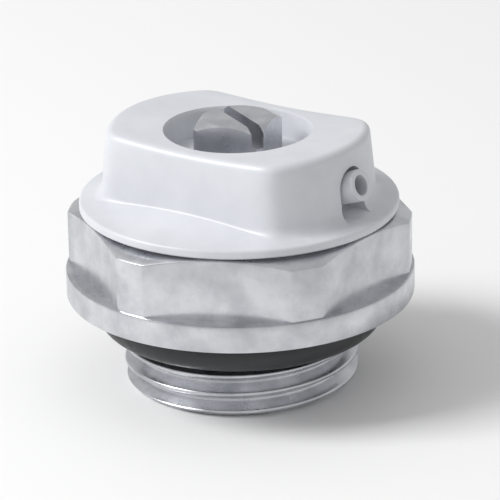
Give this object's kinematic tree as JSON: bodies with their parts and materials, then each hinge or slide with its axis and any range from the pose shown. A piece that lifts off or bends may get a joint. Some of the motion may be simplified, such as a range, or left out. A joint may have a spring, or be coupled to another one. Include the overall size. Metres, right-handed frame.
{
  "type": "radiator vent plug with swivelling outlet",
  "caption": "Nickel-plated radiator vent plug with a male thread, sealing collar and hexagon, a slotted square vent spindle and a pale swivelling cap with a side outlet.",
  "frame": {"origin": "centre of the threaded end's face, on the thread axis, at the bottom of the part", "axes": "+Z along the thread axis, from the threaded end to the vent spindle; +X towards the outlet; the cap's flats face -Y and +Y"},
  "size_m": [0.0246, 0.0246, 0.0192],
  "materials": {
    "plated_body": "satin nickel plating on turned brass, slightly mottled",
    "plated_spindle": "nickel plating on turned and milled brass",
    "cap_plastic": "satin moulded plastic, pale cool grey",
    "seal_rubber": "smooth black rubber with a faint sheen",
    "tip_rubber": "dull dark rubber"
  },
  "bodies": {
    "plug": {"plug_body": "plated_body", "collar_seal": "seal_rubber", "cap_seal": "seal_rubber"},
    "cap": {"swivel_cap": "cap_plastic"},
    "seal": {"tip_seal": "tip_rubber"},
    "spindle": {"vent_spindle": "plated_spindle", "spindle_seal": "seal_rubber"}
  },
  "joints": [
    {"name": "cap_swivel", "type": "hinge", "parent": "plug", "child": "cap", "pos_m": [0, 0, 0.0155], "axis": [0, 0, 1], "continuous": true},
    {"name": "spindle_lift", "type": "slide", "parent": "plug", "child": "seal", "axis": [0, 0, 1], "range_m": [0, 0.00075]},
    {"name": "spindle_turn", "type": "hinge", "parent": "seal", "child": "spindle", "pos_m": [0, 0, 0.012], "axis": [0, 0, 1], "range_deg": [0, 360]}
  ],
  "couplings": [
    {"joint": "spindle_turn", "follows": "spindle_lift", "rad_per_m": 8377.6}
  ]
}
